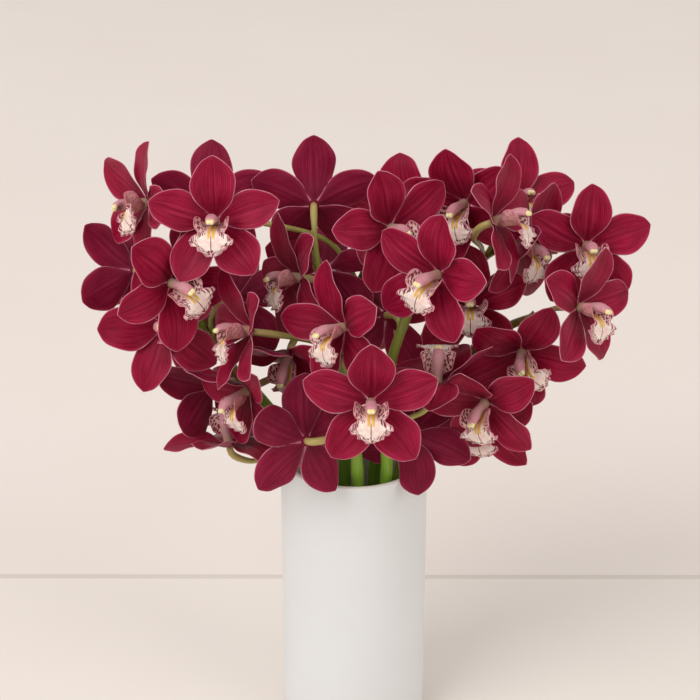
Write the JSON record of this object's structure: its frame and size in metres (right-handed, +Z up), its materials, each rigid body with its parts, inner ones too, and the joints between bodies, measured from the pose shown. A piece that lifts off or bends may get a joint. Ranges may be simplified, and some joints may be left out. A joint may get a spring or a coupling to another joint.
{
  "type": "cymbidium orchid stems in a vase",
  "caption": "Cut cymbidium orchid stems with burgundy blooms and pale spotted lips, standing in water in a plain white cylinder vase.",
  "frame": {"origin": "centre of the vase's underside, on the surface that it stands on", "axes": "+Z up, -Y towards the front that the picture shows, +X to the right as seen from there"},
  "size_m": [0.4443, 0.2223, 0.521],
  "materials": {
    "tepal": "satin burgundy petal with fine veins and a pale margin",
    "lip": "pale pink and cream with maroon spots",
    "stem": "fresh green, olive towards the top",
    "vase": "matt warm white",
    "water": "clear"
  },
  "bodies": {
    "root": {"b01_tepals": "tepal", "b01_lip": "lip", "b02_tepals": "tepal", "b02_lip": "lip", "b03_tepals": "tepal", "b03_lip": "lip", "b04_tepals": "tepal", "b04_lip": "lip", "b05_tepals": "tepal", "b05_lip": "lip", "b06_tepals": "tepal", "b06_lip": "lip", "b07_bloom": "tepal", "b08_bloom": "tepal", "b09_tepals": "tepal", "b09_lip": "lip", "b10_tepals": "tepal", "b10_lip": "lip", "b11_tepals": "tepal", "b11_lip": "lip", "b12_tepals": "tepal", "b12_lip": "lip", "b13_tepals": "tepal", "b13_lip": "lip", "b14_tepals": "tepal", "b14_lip": "lip", "b15_tepals": "tepal", "b15_lip": "lip", "b16_tepals": "tepal", "b16_lip": "lip", "b17_tepals": "tepal", "b17_lip": "lip", "b18_bloom": "tepal", "b19_tepals": "tepal", "b19_lip": "lip", "b21_tepals": "tepal", "b21_lip": "lip", "b22_bloom": "tepal", "b23_tepals": "tepal", "b23_lip": "lip", "b24_bloom": "tepal", "b25_bloom": "tepal", "b26_bloom": "tepal", "b27_bloom": "tepal", "b28_bloom": "tepal", "b29_bloom": "tepal", "b30_bloom": "tepal", "b31_bloom": "tepal", "b32_bloom": "tepal", "b33_bloom": "tepal", "b34_bloom": "tepal", "b35_bloom": "tepal", "stem_left": "stem", "stem_front_left": "stem", "stem_front_right": "stem", "stem_back": "stem", "stem_right": "stem", "stem_right_back": "stem", "vase": "vase", "water": "water"}
  },
  "joints": []
}
